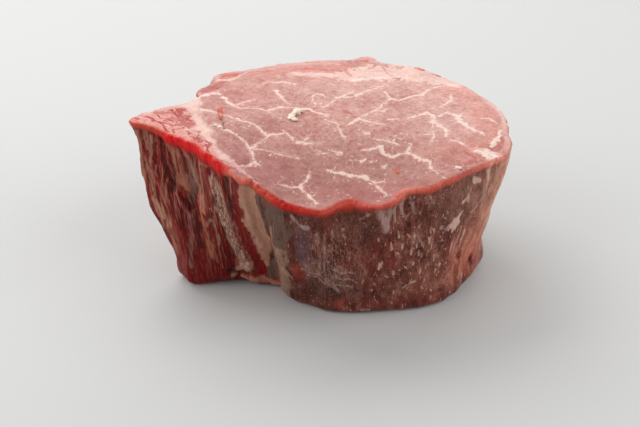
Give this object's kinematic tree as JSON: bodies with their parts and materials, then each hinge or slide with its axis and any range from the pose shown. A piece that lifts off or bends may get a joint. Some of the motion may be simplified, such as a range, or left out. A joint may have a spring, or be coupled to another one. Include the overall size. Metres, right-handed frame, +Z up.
{
  "type": "raw beef steak",
  "caption": "Thick raw fillet steak of beef: a round eye muscle with a pointed strip of side muscle, fine marbling and a fat seam, lying on its cut face.",
  "frame": {"origin": "middle of the bounding box, on the board that the steak lies on", "axes": "+Z up out of the upper cut face, -X towards the corner of the side muscle, +Y away from the nicked front edge"},
  "size_m": [0.0952, 0.0758, 0.0439],
  "materials": {
    "meat": "moist raw beef, soft satin sheen, cream fat in fine veins"
  },
  "bodies": {
    "root": {"steak": "meat"}
  },
  "joints": []
}
